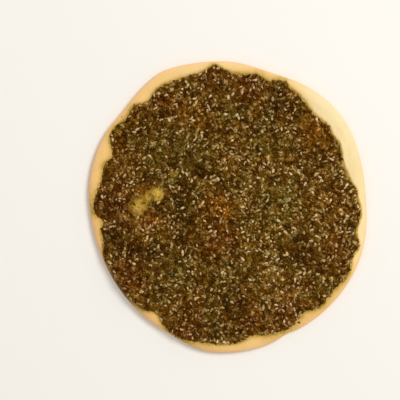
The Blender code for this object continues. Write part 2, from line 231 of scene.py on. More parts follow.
SUMAC_PLACES = in_mm((
    (-16, 117, 14, 0.9), (16, 110, 18, 0.9), (-103, -4, 21, 0.8), (-78, -12, 13, 0.75),
    (-58, 94, 15, 0.7), (-7, -27, 14, 0.8), (97, -42, 16, 0.8), (46, -103, 18, 0.8),
    (20, -102, 14, 0.8), (-18, -38, 14, 0.6), (-36, -112, 17, 0.9), (-95, -62, 18, 0.6),
))
# Creases of the spread. The paste dips there, and it and what lies on it are painted darker as painted
# shade: (x, y, radius, strength).
DEEP_SHADE_PLACES = in_mm((
    (-107, -29, 9, 1.0), (-99, -35, 9, 1.0), (-90, -39, 8, 1.0), (-80, -42, 8, 1.0),
    (-69, -42, 8, 1.0), (-59, -39, 6, 0.8), (-109, 6, 9, 0.6), (-43, -6, 8, 0.8),
    (-41, -22, 8, 0.8), (-28, 34, 8, 0.9), (-36, 21, 8, 0.5), (-45, 5, 9, 0.9), (-37, -13, 9, 1.0),
    (-43, -32, 9, 0.9), (-102, 24, 8, 0.4), (45, 94, 11, 1.0), (60, 89, 8, 0.7), (67, 56, 9, 0.5),
    (80, 44, 9, 0.6), (67, -44, 11, 1.0), (64, -30, 8, 0.6), (3, -89, 11, 1.0), (-69, 0, 6, 0.7),
    (-60, 2, 4.5, 0.7), (-78, 21, 5, 0.6), (-61, 23, 4.5, 0.7), (-80, 72, 12, 0.7),
    (-98, 43, 12, 0.2), (-80, -70, 12, 0.45), (-40, -76, 12, 0.25), (-19, -50, 9, 0.3),
    (32, 73, 14, 0.45), (-19, 92, 9, 0.25), (67, -66, 12, 0.3), (-12, -111, 11, 0.35),
    (80, 18, 10, 0.2),
))
PLACES = {
    "leafy": LEAFY_PLACES,
    "toasted": TOASTED_PLACES,
    "golden": GOLDEN_PLACES,
    "sumac": SUMAC_PLACES,
    "deep": DEEP_SHADE_PLACES,
}
PLACE_FALLOFF = 0.9  # how fast a place fades towards its radius and past it
DEEP_PLACE_DROP = 0.5 * MM

# Heights near the solids' top: the paste stays under it, and what lies on the paste may pass it a little.
PASTE_HEADROOM = 0.6 * MM
TOP_ALLOWANCE = 0.3 * MM

# Smears of oil with few leaves and seeds on them: (x, y, radius, strength).
OILY_SMEARS = in_mm((
    (71, 79, 11, 1.0), (80, 71, 11.5, 1.0), (88, 61, 9, 0.95), (-77, 15, 6, 0.9),
))

# Photograph: the pixel over the bread's middle, the frame's width, and the real size of a pixel.
PHOTO_MIDDLE_PX = (227.7, 206.9)
PHOTO_WIDTH_PX = 400
PHOTO_PIXEL = 0.92 * MM


# Shapes that the solids and the finished surfaces share


def bell_sum(angles, bells):
    """Sum of bell-shaped lobes, each (angle, half width, depth), at angles in degrees."""
    centre, half_width, depth = np.array(bells).T
    away = (np.asarray(angles)[..., None] - centre + 180) % 360 - 180
    return (depth * np.exp(-0.5 * (away / half_width) ** 2)).sum(axis=-1)


def bread_radius(angles):
    """Distance from the middle to the bread's edge: an oval with swells and flats."""
    turns = np.radians(angles)
    across, along = BREAD_WIDTH / 2, BREAD_LENGTH / 2
    oval = across * along / np.hypot(along * np.cos(turns), across * np.sin(turns))
    return oval + bell_sum(angles, EDGE_SWELLS)


def bare_rim(angles):
    """Width of bare dough between the spread and the bread's edge."""
    width = BARE_RIM + bell_sum(angles, BARE_BAYS) - bell_sum(angles, SPREAD_TONGUES)
    return np.maximum(LEAST_BARE_RIM, width)


def spread_radius(angles):
    """Distance from the middle to the spread's ragged edge."""
    return bread_radius(angles) - bare_rim(angles)


def polar(x, y):
    """Angles in degrees and distances from the middle."""
    return np.degrees(np.arctan2(y, x)), np.hypot(x, y)


def on_rays(angles, radii):
    """Places at angles in degrees and distances from the middle."""
    turns = np.radians(angles)
    return radii * np.cos(turns), radii * np.sin(turns)


def wave_sum(turns, waves):
    """Sum of sine waves round a middle at angles in radians."""
    return sum(share * np.sin(times * turns + math.radians(shift)) for times, share, shift in waves)


def smooth_step(share):
    """0 to 1 with a soft start and end."""
    share = np.clip(share, 0, 1)
    return share * share * (3 - 2 * share)


def ripples(x, y, length, layer=0):
    """Smooth noise from -1 to 1 with bumps of a length. Each layer is another pattern."""
    x, y = np.broadcast_arrays(x, y)
    places = zip((x / length).ravel().tolist(), (y / length).ravel().tolist())
    return np.reshape([noise.noise((across, along, layer)) for across, along in places], x.shape)


def relief(x, y, bumps, layer=0):
    """Several sizes of bumps, each (height, length), one over the other."""
    return sum(height * ripples(x, y, length, layer + size) for size, (height, length) in enumerate(bumps))


def rim_height(angles):
    """The rim's crown is higher where more dough was left, in a slow wave round the bread."""
    return RIM_HEIGHT + RIM_HEIGHT_SWING * wave_sum(np.radians(angles), RIM_WAVES)


def dough_floor(x, y):
    """Height of the dough under the spread: slow waves, and blisters that lift it."""
    height = FLOOR_HEIGHT + WAVE_HEIGHT * ripples(x, y, WAVE_LENGTH)
    for blister_x, blister_y, radius, lift in BLISTERS:
        away = np.hypot(x - blister_x, y - blister_y) / radius
        height = height + lift * smooth_step(1 - away)
    return height


def dough_top(x, y):
    """Height of the bread's upper surface: rounded edge, crown, then a slope to the floor."""
    angles, distances = polar(x, y)
    inward = np.maximum(0, bread_radius(angles) - distances)
    crown = rim_height(angles) + RIM_RIPPLE_HEIGHT * ripples(x, y, RIM_RIPPLE_LENGTH)
    along = 1 - np.minimum(1, inward / UPPER_ROUND)
    rounded = WIDEST_HEIGHT + (crown - WIDEST_HEIGHT) * np.sqrt(1 - along * along)
    share = smooth_step((inward - UPPER_ROUND) / RIM_INNER_SLOPE)
    return np.where(inward < UPPER_ROUND, rounded, crown + (dough_floor(x, y) - crown) * share)


def bare_patch_reach(x, y):
    """Distance from the bare patch's middle, as a share of the way to the patch's edge."""
    turn = math.radians(-BARE_PATCH_ANGLE)
    from_x, from_y = x - BARE_PATCH_CENTRE[0], y - BARE_PATCH_CENTRE[1]
    along = (from_x * math.cos(turn) - from_y * math.sin(turn)) / BARE_PATCH_HALF_LENGTH
    across = (from_x * math.sin(turn) + from_y * math.cos(turn)) / BARE_PATCH_HALF_WIDTH
    ragged = 1 + BARE_PATCH_RAGGED * wave_sum(np.arctan2(across, along), BARE_PATCH_WAVES)
    return np.hypot(along, across) / ragged


def shown_radius(angles):
    """Distance from the middle to where the finished spread stops."""
    return spread_radius(angles) - bell_sum(angles, EDGE_RETREATS)


def past_outer_edge(x, y):
    """Distance from the spread's outer edge, above 0 on the bare rim."""
    angles, distances = polar(x, y)
    return distances - shown_radius(angles)


def past_spread(x, y):
    """Distance from the spread's two edges, above 0 on bare dough and below 0 under the spread."""
    return np.maximum(past_outer_edge(x, y), (1 - bare_patch_reach(x, y)) * BARE_PATCH_HALF_WIDTH)


def into_lobes(x, y):
    """How far a point lies inside the bare patch's lobes, and below 0 outside them."""
    reaches = [radius - np.hypot(x - lobe_x, y - lobe_y) for lobe_x, lobe_y, radius in BARE_LOBES]
    return np.max(reaches, axis=0)


def past_crumbs(x, y):
    """Distance from the edges of what the spread's crumbs cover, above 0 where they leave dough bare."""
    return np.maximum(past_outer_edge(x, y), into_lobes(x, y))


def spread_thickness(x, y):
    """Thickness of the spread: thin at its edge and round the bare patch, with crags between."""
    share = smooth_step(-past_spread(x, y) / SPREAD_TAPER)
    level = SPREAD_EDGE_THICKNESS + (SPREAD_THICKNESS - SPREAD_EDGE_THICKNESS) * share
    return level + CRAG_HEIGHT * share * ripples(x, y, CRAG_LENGTH)


def share_of(x, y, places):
    """How strongly named places show at each point, from 0 to 1."""
    shown = np.zeros(np.shape(x))
    for place_x, place_y, radius, strength in places:
        away = np.hypot(x - place_x, y - place_y) / radius
        shown = np.maximum(shown, strength * np.exp(-PLACE_FALLOFF * away * away))
    return shown


def outline_middle():
    """Middle of the box round the bread's outline, which the origin lies under."""
    angles = np.arange(OUTLINE_SECTORS) * 360 / OUTLINE_SECTORS
    x, y = on_rays(angles, bread_radius(angles))
    return (x.min() + x.max()) / 2, (y.min() + y.max()) / 2


# Meshes

SLOPE_STEP = 0.8 * MM
TRIES_PER_PLACE = 4


def add_piece(name, points, faces, finish, marks):
    """A mesh object over the origin, with one number at each vertex for every mark."""
    middle_x, middle_y = outline_middle()
    mesh = bpy.data.meshes.new(name)
    moved = np.asarray(points) - (middle_x, middle_y, 0)
    mesh.from_pydata(moved.tolist(), [], faces)
    for mark, values in marks.items():
        attribute = mesh.attributes.new(mark, "FLOAT", "POINT")
        attribute.data.foreach_set("value", np.asarray(values, np.float32))
    mesh.materials.append(finish)
    mesh.shade_smooth()
    piece = bpy.data.objects.new(name, mesh)
    bpy.context.scene.collection.objects.link(piece)
    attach(piece, BODY)
    return piece


def ring_strip(first, second, count):
    """Quads between two rings of vertices that run anticlockwise, the first one inside or above."""
    return [
        (first + step, second + step, second + (step + 1) % count, first + (step + 1) % count)
        for step in range(count)
    ]


def honeycomb_disc(rings):
    """Angles and shares of the radius of a disc's even net, and its triangles.

    Ring k has 6 k points, so the triangles are as small at the edge as in the middle.
    """
    angles, shares, faces = [0.0], [0.0], []
    for ring in range(1, rings + 1):
        count = 6 * ring
        angles += [360 * step / count for step in range(count)]
        shares += [ring / rings] * count
        outer, inner = len(angles) - count, len(angles) - count - max(1, count - 6)
        inner_count = max(1, count - 6)
        for side in range(6):
            for step in range(ring):
                out_a = outer + side * ring + step
                out_b = outer + (side * ring + step + 1) % count
                in_a = inner + (side * (ring - 1) + step) % inner_count
                faces.append((out_a, out_b, in_a))
                if step < ring - 1:
                    in_b = inner + (side * (ring - 1) + step + 1) % inner_count
                    faces.append((in_a, out_b, in_b))
    return np.array(angles), np.array(shares), faces


def spindle(stations, corners):
    """A small closed body along X, from stations (x, half width, top, bottom, lift) between two tips.

    The first and the last station are the tips, and have no width.
    """
    points, faces = [], []
    first_x, last_x = stations[0], stations[-1]
    points.append((first_x[0], 0, first_x[4]))
    for x, half_width, top, bottom, lift in stations[1:-1]:
        for corner in range(corners):
            turn = 2 * math.pi * corner / corners
            height = top if math.sin(turn) > 0 else bottom
            points.append((x, half_width * math.cos(turn), lift + height * math.sin(turn)))
    points.append((last_x[0], 0, last_x[4]))
    tip = len(points) - 1
    for corner in range(corners):
        after = (corner + 1) % corners
        faces.append((0, 1 + after, 1 + corner))
        for ring in range(len(stations) - 3):
            start, end = 1 + ring * corners, 1 + (ring + 1) * corners
            faces.append((start + corner, start + after, end + after))
            faces.append((start + corner, end + after, end + corner))
        faces.append((tip, tip - corners + corner, tip - corners + after))
    return np.array(points, float), np.array(faces)


def surface_normals(x, y, height):
    """Upward unit normals of a height function, from its slope over a short step."""
    slope_x = (height(x + SLOPE_STEP, y) - height(x - SLOPE_STEP, y)) / (2 * SLOPE_STEP)
    slope_y = (height(x, y + SLOPE_STEP) - height(x, y - SLOPE_STEP)) / (2 * SLOPE_STEP)
    normals = np.stack((-slope_x, -slope_y, np.ones_like(slope_x)), axis=-1)
    return normals / np.linalg.norm(normals, axis=-1, keepdims=True)


def lay_down(shape, spots, normals, headings, sizes, bends):
    """Copies of a small body, one at each spot, laid on the normal and turned to the heading.

    Each is bent sideways by a number of its widths. One that stands more than the allowance
    above the solids' top is lowered until it doesn't.
    """
    points, faces = shape
    bent = np.repeat(points[None], len(spots), axis=0)
    bent[:, :, 1] += bends[:, None] * (2 * points[:, 0]) ** 2
    ahead = np.stack((np.cos(headings), np.sin(headings), np.zeros_like(headings)), axis=-1)
    side = np.cross(normals, ahead)
    side /= np.linalg.norm(side, axis=-1, keepdims=True)
    along = np.cross(side, normals)
    axes = np.stack((along, side, normals), axis=1) * sizes[:, :, None]
    laid = np.einsum("nck,nkd->ncd", bent, axes) + spots[:, None, :]
    too_high = laid[:, :, 2].max(axis=1) - CAD_BOX[1][2] - TOP_ALLOWANCE
    laid[:, :, 2] -= np.maximum(0, too_high)[:, None]
    numbers = faces[None] + (np.arange(len(spots)) * len(points))[:, None, None]
    return laid.reshape(-1, 3), numbers.reshape(-1, 3)


def spread_out(count, draw, wanted):
    """Random places on the bread's square, each kept with the chance that wanted(x, y) gives."""
    tries = TRIES_PER_PLACE * count
    kept_x, kept_y = np.empty(0), np.empty(0)
    while len(kept_x) < count:
        x = draw.uniform(-0.5, 0.5, tries) * BREAD_LENGTH
        y = draw.uniform(-0.5, 0.5, tries) * BREAD_LENGTH
        keep = draw.uniform(0, 1, tries) < wanted(x, y)
        kept_x, kept_y = np.append(kept_x, x[keep]), np.append(kept_y, y[keep])
    return kept_x[:count], kept_y[:count]


def keep_apart(x, y, least, count):
    """The first places that lie at least so far apart."""
    cells, kept = {}, []
    for index, (place_x, place_y) in enumerate(zip(x.tolist(), y.tolist())):
        column, row = math.floor(place_x / least), math.floor(place_y / least)
        near = [
            other
            for beside in range(column - 1, column + 2)
            for above in range(row - 1, row + 2)
            for other in cells.get((beside, above), ())
        ]
        if all(math.dist((place_x, place_y), other) >= least for other in near):
            cells.setdefault((column, row), []).append((place_x, place_y))
            kept.append(index)
        if len(kept) == count:
            break
    return x[kept], y[kept]


# Finishes


class Socket:
    """A node's output, which Python's operators turn into Math nodes."""

    def __init__(self, finish, output):
        self.finish = finish
        self.output = output

    def maths(self, operation, *values):
        """A Math node on numbers and sockets."""
        return self.finish.node("ShaderNodeMath", {"operation": operation}, dict(enumerate(values)))

    def __add__(self, other):
        return self.maths("ADD", self, other)

    def __radd__(self, other):
        return self.maths("ADD", other, self)

    def __sub__(self, other):
        return self.maths("SUBTRACT", self, other)

    def __rsub__(self, other):
        return self.maths("SUBTRACT", other, self)

    def __mul__(self, other):
        return self.maths("MULTIPLY", self, other)

    def __rmul__(self, other):
        return self.maths("MULTIPLY", other, self)

    def clamped(self):
        """No less than 0 and no more than 1."""
        return self.maths("MAXIMUM", self.maths("MINIMUM", self, 1.0), 0.0)


class Finish:
    """A material, with its nodes made by one method."""

    def __init__(self, name, shine, sheen=(1, 1, 1)):
        self.material = bpy.data.materials.new(name)
        self.material.use_nodes = True
        self.tree = self.material.node_tree
        self.shader = self.tree.nodes["Principled BSDF"]
        self.shade(Specular_IOR_Level=shine, Specular_Tint=sheen)

    def node(self, kind, settings=None, inputs=None, output=0):
        """A node of a kind, with its settings set first, then its sockets' values or links."""
        made = self.tree.nodes.new(kind)
        for setting, value in (settings or {}).items():
            if setting == "stops":
                self.set_stops(made.color_ramp, value)
            else:
                setattr(made, setting, value)
        self.fill(made, inputs or {})
        return Socket(self, made.outputs[output])

    def set_stops(self, ramp, stops):
        """A ramp's colours, each with its position from 0 to 1."""
        while len(ramp.elements) < len(stops):
            ramp.elements.new(0.5)
        for element, (position, colour) in zip(ramp.elements, stops):
            element.position = position
            element.color = (*colour, 1.0)

    def fill(self, node, inputs):
        """Link or set a node's sockets, named or numbered."""
        for socket, value in inputs.items():
            if isinstance(value, Socket):
                self.tree.links.new(value.output, node.inputs[socket])
            elif isinstance(node.inputs[socket].default_value, float):
                node.inputs[socket].default_value = value
            elif len(node.inputs[socket].default_value) == 4:
                node.inputs[socket].default_value = (*value, 1.0)
            else:
                node.inputs[socket].default_value = value

    def shade(self, **inputs):
        """Set the shader's own sockets, by their names with _ for a space."""
        self.fill(self.shader, {name.replace("_", " "): value for name, value in inputs.items()})

    def mark(self, name):
        """A number that the mesh carries at each vertex."""
        return self.node("ShaderNodeAttribute", {"attribute_name": name}, output=2)

    def place(self):
        """Where a point lies in the object, in metres."""
        return self.node("ShaderNodeTexCoord", output=3)

    def grain(self, length, detail=2.0, low=0.3, high=0.7):
        """Noise with bumps of a length, drawn out to run from 0 to 1."""
        inputs = {"Vector": self.place(), "Scale": 1 / length, "Detail": detail}
        return self.between(self.node("ShaderNodeTexNoise", inputs=inputs), low, high)

    def between(self, value, low, high):
        """0 at low and 1 at high, and no further."""
        return ((value - low) * (1 / (high - low))).clamped()

    def blend(self, share, first, second):
        """From the first colour at 0 to the second at 1."""
        inputs = {0: share, 6: first, 7: second}
        return self.node("ShaderNodeMix", {"data_type": "RGBA"}, inputs, output=2)

    def layered(self, colour, *layers):
        """The colour with layers over it, each (share, colour), the last one on top."""
        for share, over in layers:
            colour = self.blend(share, colour, over)
        return colour

    def tint(self, share, colour, other):
        """The colour multiplied by another one, by a share of it."""
        settings = {"data_type": "RGBA", "blend_type": "MULTIPLY"}
        return self.node("ShaderNodeMix", settings, {0: share, 6: colour, 7: other}, output=2)

    def bumps(self, height, depth):
        """A normal from a height that runs from 0 to 1 over a depth in metres."""
        return self.node("ShaderNodeBump", inputs={"Height": height, "Distance": depth})


# Settings


def colour_setting(name, description, default):
    return FloatVectorProperty(
        name=name, description=description, default=default, subtype="COLOR", min=0, max=1,
    )


def length_setting(name, description, default, least, most):
    return FloatProperty(
        name=name, description=description, default=default, min=least, max=most,
        unit="LENGTH", precision=5,
    )


def count_setting(name, description, default, most):
    return IntProperty(name=name, description=description, default=default, min=0, max=most)


class DoughSettings(PropertyGroup):
    """Colours of the baked dough."""

    crumb_colour: colour_setting("Baked dough", "Golden cream of most of the rim", (0.82, 0.545, 0.205))
    # Painted light: the paler cream of the rim's sides that face the key lamp.
    painted_light_colour: colour_setting(
        "Creamy dough", "Pale cream of the side that the oven browned least", (0.86, 0.705, 0.405),
    )
    # Partly crust, partly painted shade and painted warm reflected light: the peach of the rim's sides away
    # from the key lamp.
    peach_and_shade_colour: colour_setting("Peachy dough", "Warmer side of the rim", (0.90, 0.525, 0.205))
    browned_colour: colour_setting(
        "Browned dough", "Brown crust where the spread runs to the edge", (0.16, 0.068, 0.014),
    )
    golden_colour: colour_setting(
        "Golden dough", "Deeper yellow of the rim's hollows", (0.74, 0.465, 0.140),
    )
    side_colour: colour_setting("Side crust", "Peach crust round the lower side", (0.96, 0.575, 0.305))
    stain_colour: colour_setting(
        "Oil stain", "Olive gold of dough that herb oil has soaked", (0.42, 0.255, 0.028),
    )
    patch_colour: colour_setting(
        "Bare blister", "Oily brown gold of the blister's bare top", (0.25, 0.133, 0.004),
    )
    lump_colour: colour_setting("Blister lumps", "Gold of the lumps on the bare top", (0.59, 0.365, 0.050))
    base_colour: colour_setting("Baked base", "Golden brown of the underside", (0.62, 0.36, 0.14))
    toast_colour: colour_setting("Toasted spots", "Brown of the spots under the bread", (0.30, 0.13, 0.04))


class SpreadSettings(PropertyGroup):
    """Colours and fineness of the herb paste."""

    net_size: length_setting(
        "Net size", "Side of the triangles of the paste's upper face", 0.82 * MM, 0.4 * MM, 5 * MM,
    )
    paste_colour: colour_setting("Paste", "Oily brown of the paste's crumbs", (0.154, 0.066, 0.0042))
    dark_colour: colour_setting("Dark paste", "Dark brown between the crumbs", (0.063, 0.0195, 0.0002))
    fringe_colour: colour_setting("Oily fringe", "Olive gold of the thin outer edge", (0.21, 0.135, 0.010))


class HerbSettings(PropertyGroup):
    """Dried leaves and ground crumbs."""

    leaf_count: count_setting("Leaves", "Scraps of thyme leaf", 8800, 12400)
    leaf_length: length_setting(
        "Leaf length", "Length of a middling leaf scrap", 4.4 * MM, 0.5 * MM, 8 * MM,
    )
    pale_leaf_colour: colour_setting(
        "Pale leaf", "Straw olive of a leaf's pale underside", (0.405, 0.256, 0.076),
    )
    leaf_colour: colour_setting("Leaf", "Brown olive of a dried leaf", (0.205, 0.101, 0.0120))
    dark_leaf_colour: colour_setting(
        "Baked leaf", "Dark brown of a leaf that the oven browned", (0.080, 0.0250, 0.0003),
    )
    crumb_count: count_setting("Crumbs", "Crumbs of sumac and herb", 3200, 12400)
    crumb_size: length_setting("Crumb size", "Length of a middling crumb", 2.0 * MM, 0.3 * MM, 4 * MM)
    pale_crumb_colour: colour_setting("Pale crumb", "Tan of ground sesame and stalk", (0.375, 0.235, 0.068))
    crumb_colour: colour_setting("Crumb", "Brown of ground herb", (0.181, 0.083, 0.0093))
    dark_crumb_colour: colour_setting("Dark crumb", "Red brown of ground sumac", (0.069, 0.0200, 0.0004))


class SesameSettings(PropertyGroup):
    """Sesame seeds."""

    seed_count: count_setting("Seeds", "Most seeds on the spread", 1900, 3300)
    seed_length: length_setting("Seed length", "Length of a middling seed", 4.25 * MM, 1 * MM, 6 * MM)
    seed_width: length_setting("Seed width", "Width of a middling seed", 2.4 * MM, 0.5 * MM, 4 * MM)
    seed_thickness: length_setting(
        "Seed thickness", "Thickness of a middling seed", 1.25 * MM, 0.3 * MM, 3 * MM,
    )
    least_apart: length_setting(
        "Least apart", "How near two seeds' middles may lie", 2.4 * MM, 0.5 * MM, 9 * MM,
    )
    pale_colour: colour_setting("Pale seed", "Cream of a clean seed", (0.60, 0.430, 0.205))
    toasted_colour: colour_setting("Toasted seed", "Tan of a seed under oil", (0.36, 0.230, 0.080))
    sunken_colour: colour_setting("Sunken seed", "Brown of a seed under paste", (0.21, 0.123, 0.030))


class StageSettings(PropertyGroup):
    """Floor, lamps and camera."""

    floor_colour: colour_setting("Floor", "Plain pale floor", (0.85, 0.835, 0.80))
    lens: FloatProperty(
        name="Lens", description="Focal length in millimetres", default=85, min=20, max=300,
    )
    key_power: FloatProperty(
        name="Key lamp", description="Power of the key lamp in watts", default=54, min=0,
    )
    sky_strength: FloatProperty(name="Sky", description="Strength of the even light", default=0.64, min=0)


class ManakishSettings(PropertyGroup):
    """All settings, one group for each kind of piece."""

    dough: PointerProperty(type=DoughSettings)
    spread: PointerProperty(type=SpreadSettings)
    herbs: PointerProperty(type=HerbSettings)
    sesame: PointerProperty(type=SesameSettings)
    stage: PointerProperty(type=StageSettings)


# Dough

DOUGH_SECTORS = 600
CROWN_STEPS = 10
RIM_STEP = 0.62 * MM
RIM_DEPTH = 24 * MM
INNER_RINGS = 62
LOWER_STEPS = 6
BASE_SHARES = (0.985, 0.96, 0.92, 0.86, 0.78, 0.68, 0.56, 0.43, 0.30, 0.17)
BASE_DENT = 0.25 * MM
BASE_DENT_LENGTH = 14 * MM
PATCH_LUMP_REACH = 1.6  # how far the lumps run, as a share of the way to the patch's edge
PATCH_STAIN_REACH = 5 * MM  # how far the patch's colour runs under the spread round it
STAIN_FADE = 2 * MM
# Painted shade, tinted olive, on the rim's inner slope.
OLIVE_PAINTED_SHADE = (0.95, 0.92, 0.76)
# Painted highlight: brightens the rim's inner slope on the sides that face the key lamp.
PAINTED_HIGHLIGHT_TINT = (1.19, 1.17, 1.12)
PATCH_SPECK_CAST = (0.42, 0.34, 0.08)

# Lengths of the uneven parts of the dough's colours, and of its pores.
FLOUR_LENGTH = 9 * MM
STAIN_LENGTH = 3.5 * MM
CRUST_LENGTH = 16 * MM
FRECKLE_LENGTH = 2.6 * MM
LUMP_LENGTH = 4.2 * MM
BAKED_LENGTH = 45 * MM
TOAST_LENGTH = 15 * MM
PORE_LENGTH = 0.9 * MM
DENT_LENGTH = 3.2 * MM
PORE_DEPTH = 0.22 * MM

# Where a colour starts and where it is full, as shares of the rim's height.
CRUST_HEIGHTS = (0.65, 0.28)
BROWNED_HEIGHTS = (0.35, 0.6)
BASE_HEIGHTS = (0.16, 0.02)

# The same, as shares of the way from the spread to the edge. The painted olive shade and the painted
# highlight fade out there.
OLIVE_SHADE_OUTWARD = (0.0, 0.3)
PAINTED_HIGHLIGHT_OUTWARD = (0.1, 0.7)
CRUST_OUTWARD = (0.6, 1.0)


def dough_skin(x, y):
    """The bread's upper surface with the fine bumps of its skin, which die out at its widest line."""
    angles, distances = polar(x, y)
    fade = smooth_step((bread_radius(angles) - distances) / UPPER_ROUND)
    bare = smooth_step(PATCH_LUMP_REACH - bare_patch_reach(x, y))
    skin = relief(x, y, SKIN_RELIEF, SKIN_LAYER)
    lumps = relief(x, y, PATCH_RELIEF, PATCH_LAYER)
    return dough_top(x, y) + fade * (skin + bare * lumps)


def dough_rings(angles):
    """Rings of points from the middle of the top, over the crown, to the middle of the base."""
    edge = bread_radius(angles)
    inner_edge = edge - RIM_DEPTH
    radii = [inner_edge * ring / INNER_RINGS for ring in range(1, INNER_RINGS)]
    radii += [edge - inward for inward in np.arange(RIM_DEPTH, UPPER_ROUND, -RIM_STEP)]
    slopes = np.radians(np.linspace(90, 0, CROWN_STEPS + 1))
    radii += [edge - UPPER_ROUND * (1 - math.cos(slope)) for slope in slopes]
    rings = []
    for radius in radii:
        x, y = on_rays(angles, radius)
        rings.append(np.stack((x, y, dough_skin(x, y)), axis=-1))
    for slope in np.radians(np.linspace(0, 90, LOWER_STEPS + 1))[1:]:
        x, y = on_rays(angles, edge - LOWER_ROUND * (1 - math.cos(slope)))
        rings.append(np.stack((x, y, np.full_like(x, WIDEST_HEIGHT * (1 - math.sin(slope)))), axis=-1))
    for share in BASE_SHARES:
        x, y = on_rays(angles, (edge - LOWER_ROUND) * share)
        dents = BASE_DENT * np.maximum(0, ripples(x, y, BASE_DENT_LENGTH, BASE_LAYER))
        rings.append(np.stack((x, y, dents), axis=-1))
    return rings


def soaked_with_oil(x, y):
    """How much herb oil has soaked the dough: most beside the spread, and further at the seeps."""
    angles, _ = polar(x, y)
    reach = OIL_REACH + bell_sum(angles, OIL_SEEPS)
    return np.exp(-np.maximum(0, past_spread(x, y)) / reach)


def make_dough(settings):
    """The bread as one closed skin: a disc on top, rings over the rim and under it, and the base."""
    angles = np.arange(DOUGH_SECTORS) * 360 / DOUGH_SECTORS
    rings = dough_rings(angles)
    points = np.concatenate(rings)
    faces = [tuple(range(DOUGH_SECTORS))]
    for ring in range(len(rings) - 1):
        faces += ring_strip(ring * DOUGH_SECTORS, (ring + 1) * DOUGH_SECTORS, DOUGH_SECTORS)
    last = len(points) - DOUGH_SECTORS
    faces.append(tuple(range(last + DOUGH_SECTORS - 1, last - 1, -1)))
    x, y = points[:, 0], points[:, 1]
    angles, _ = polar(x, y)
    upper = smooth_step((points[:, 2] - WIDEST_HEIGHT) / STAIN_FADE + 0.5)
    marks = {
        "oil": soaked_with_oil(x, y) * upper,
        "patch": smooth_step((into_lobes(x, y) + PATCH_STAIN_REACH) / STAIN_FADE) * upper,
        "lump": share_of(x, y, PATCH_LUMPS),
        "height": points[:, 2] / RIM_HEIGHT,
        "outward": 1 - upper * (1 - np.clip(past_outer_edge(x, y) / bare_rim(angles), 0, 1)),
        # Painted light on the rim's sides that face the key lamp.
        "creamy": np.minimum(1, bell_sum(angles, PAINTED_LIGHT_SIDES)),
        # Peach that is partly crust and partly painted shade, on the sides away from the key lamp.
        "peachy": np.minimum(1, bell_sum(angles, PEACH_AND_SHADE_SIDES)),
        "browned": np.minimum(1, bell_sum(angles, BROWNED_SIDES)),
    }
    dough = add_piece("dough", points, faces, dough_finish(settings), marks)
    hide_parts("bread")


def rim_colour(finish, settings, height):
    """The dough: floury crown, golden hollows, painted light on the lamp's sides, peach sides partly
    painted shade, painted shade and highlight on the inner slope, and the side's crust.
    """
    floury = finish.grain(FLOUR_LENGTH, 4)
    # Painted light: a paler cream on the sides that face the key lamp.
    creamy = finish.mark("creamy")
    plain = 1 - creamy
    outward = finish.mark("outward")
    colour = finish.layered(
        settings.crumb_colour,
        (floury * 0.5, settings.golden_colour),
        (finish.mark("peachy") * (1 - 0.3 * floury), settings.peach_and_shade_colour),
        (creamy * (1 - 0.2 * floury), settings.painted_light_colour),
    )
    # Painted shade, tinted olive, on the inner slope of the sides away from the key lamp.
    olive = plain * (0.5 - 0.5 * finish.between(outward, *OLIVE_SHADE_OUTWARD))
    colour = finish.tint(olive, colour, OLIVE_PAINTED_SHADE)
    # Painted highlight on the inner slope of the sides that face the key lamp.
    painted_highlight_share = creamy * (1 - finish.between(outward, *PAINTED_HIGHLIGHT_OUTWARD))
    colour = finish.tint(painted_highlight_share, colour, PAINTED_HIGHLIGHT_TINT)
    outer = finish.between(outward, *CRUST_OUTWARD) * (0.2 + 0.45 * plain)
    side = finish.between(height, *CRUST_HEIGHTS) * (0.5 + 0.5 * finish.grain(CRUST_LENGTH, 2))
    freckles = finish.grain(FRECKLE_LENGTH, 2, low=0.66, high=0.80)
    return finish.layered(
        colour,
        (outer.maths("MAXIMUM", outer, side), settings.side_colour),
        (freckles * 0.3, settings.side_colour),
    )


def patch_colour(finish, settings):
    """The blister's bare top: golden lumps on oily brown, with dark specks."""
    lump = (finish.mark("lump") * 1.5 - 0.9 * finish.grain(LUMP_LENGTH, 3)).clamped()
    colour = finish.blend(lump, settings.patch_colour, settings.lump_colour)
    specks = finish.grain(FRECKLE_LENGTH, 2, low=0.56, high=0.62)
    return finish.tint(specks * 0.85, colour, PATCH_SPECK_CAST)


def dough_finish(settings):
    """Matte baked dough with oil stains, the bare blister and a toasted base."""
    finish = Finish("baked_dough", 0.2)
    height = finish.mark("height")
    oil = (finish.mark("oil") * (0.55 + 0.75 * finish.grain(STAIN_LENGTH, 3))).clamped()
    under = finish.between(height, *BASE_HEIGHTS)
    colour = finish.layered(
        rim_colour(finish, settings, height),
        (oil, settings.stain_colour),
        (finish.mark("browned") * finish.between(height, *BROWNED_HEIGHTS), settings.browned_colour),
        (finish.mark("patch"), patch_colour(finish, settings)),
        (under * (0.45 + 0.55 * finish.grain(BAKED_LENGTH, 3)), settings.base_colour),
        (under * finish.grain(TOAST_LENGTH, 5, low=0.46, high=0.66), settings.toast_colour),
    )
    pores = finish.grain(PORE_LENGTH, 4) * 0.6 + finish.grain(DENT_LENGTH, 3) * 0.4
    finish.shade(Base_Color=colour, Roughness=0.74 - 0.28 * oil, Normal=finish.bumps(pores, PORE_DEPTH))
    return finish.material


# Herb paste

